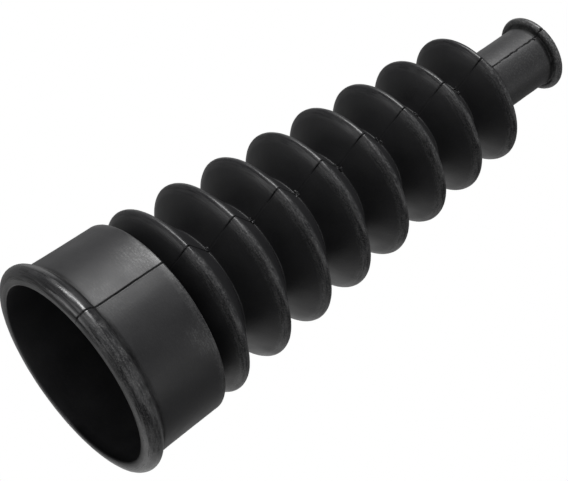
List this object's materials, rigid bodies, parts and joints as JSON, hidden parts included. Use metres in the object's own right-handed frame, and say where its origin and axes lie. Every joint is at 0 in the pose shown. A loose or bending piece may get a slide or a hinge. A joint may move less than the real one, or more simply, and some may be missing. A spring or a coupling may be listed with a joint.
{
  "type": "rubber bellows boot",
  "caption": "Tapered rubber bellows boot: a wide beaded cuff, round folds that shrink towards one end, and a narrow beaded neck.",
  "frame": {"origin": "centre of the mouth face, on the boot's axis, at the bottom", "axes": "+Z along the boot's axis from the wide mouth to the narrow end; the mould's parting line runs along -Y and +Y"},
  "size_m": [0.06, 0.06, 0.1667],
  "materials": {
    "rubber": "matte moulded rubber with a faint sheen"
  },
  "bodies": {
    "root": {"bellows_boot": "rubber"}
  },
  "joints": []
}
